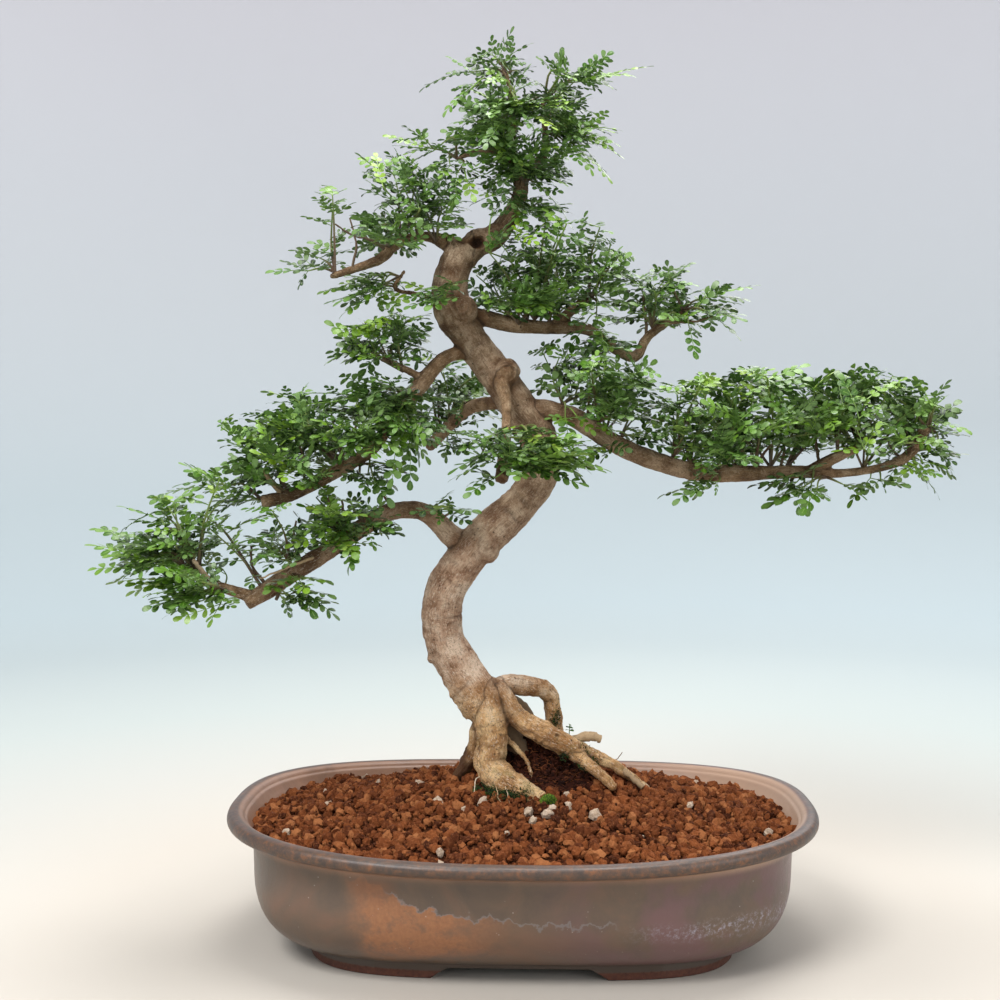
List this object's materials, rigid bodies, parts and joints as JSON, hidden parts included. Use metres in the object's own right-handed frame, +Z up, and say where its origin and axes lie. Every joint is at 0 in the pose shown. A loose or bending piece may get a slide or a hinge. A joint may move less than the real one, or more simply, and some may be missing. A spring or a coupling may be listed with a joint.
{
  "type": "bonsai tree in a pot",
  "caption": "Chinese pepper bonsai with a leaning trunk, exposed roots and feathered leaves, growing in granular soil in an oval glazed pot with feet.",
  "frame": {"origin": "centre of the whole object's box in plan, at the level of the pot's feet", "axes": "+Z up the tree; +X along the pot's long side, towards the long right branch; -Y is the viewing front"},
  "size_m": [0.5506, 0.268, 0.5806],
  "materials": {
    "glaze": "semi-matt grey-brown glaze with a rust-brown flush and a thin blue-grey run line, bare reddish clay on the feet",
    "plastic": "black drainage mesh",
    "soil": "matt reddish-brown fired clay granules",
    "bark": "matt grey-brown bark with pale streaks, yellow-tan on the roots",
    "moss": "matt green moss",
    "leaf": "glossy mid-green leaflets, yellow-green when young"
  },
  "bodies": {
    "root": {"pot": "glaze", "drain_screen_left": "plastic", "drain_screen_right": "plastic", "soil": "soil", "wood": "bark", "moss_by_root": "moss", "moss_under_arch": "moss", "apex_top": "leaf", "apex_right_high": "leaf", "apex_right": "leaf", "apex_front": "leaf", "apex_back": "leaf", "apex_left": "leaf", "apex_low_back": "leaf", "crown_left_top": "leaf", "crown_left_front": "leaf", "crown_left_back": "leaf", "crown_left_end": "leaf", "crown_left_low": "leaf", "trunk_front": "leaf", "left_twig": "leaf", "right_crown_top": "leaf", "right_crown_front": "leaf", "right_crown_back": "leaf", "right_crown_side": "leaf", "right_twig_top": "leaf", "right_twig_end": "leaf", "right_mid": "leaf", "right_mid_back": "leaf", "right_pad_a": "leaf", "right_pad_a_low": "leaf", "right_pad_b": "leaf", "right_pad_b_back": "leaf", "right_pad_c": "leaf", "right_pad_c_back": "leaf", "right_pad_low": "leaf", "right_pad_d": "leaf", "right_pad_e": "leaf", "right_pad_end": "leaf", "right_pad_tip": "leaf", "left_pad_top": "leaf", "left_pad_back": "leaf", "left_pad_a": "leaf", "left_pad_b": "leaf", "left_pad_front": "leaf", "left_pad_c": "leaf", "left_pad_end": "leaf", "left_pad_under": "leaf", "behind_trunk": "leaf", "front_right": "leaf", "front_left": "leaf", "fork_tuft": "leaf", "low_pad_end": "leaf", "low_pad_top": "leaf", "low_pad_front": "leaf", "low_branch_top": "leaf", "low_branch_a": "leaf", "low_branch_b": "leaf", "low_shoot": "leaf"}
  },
  "joints": []
}
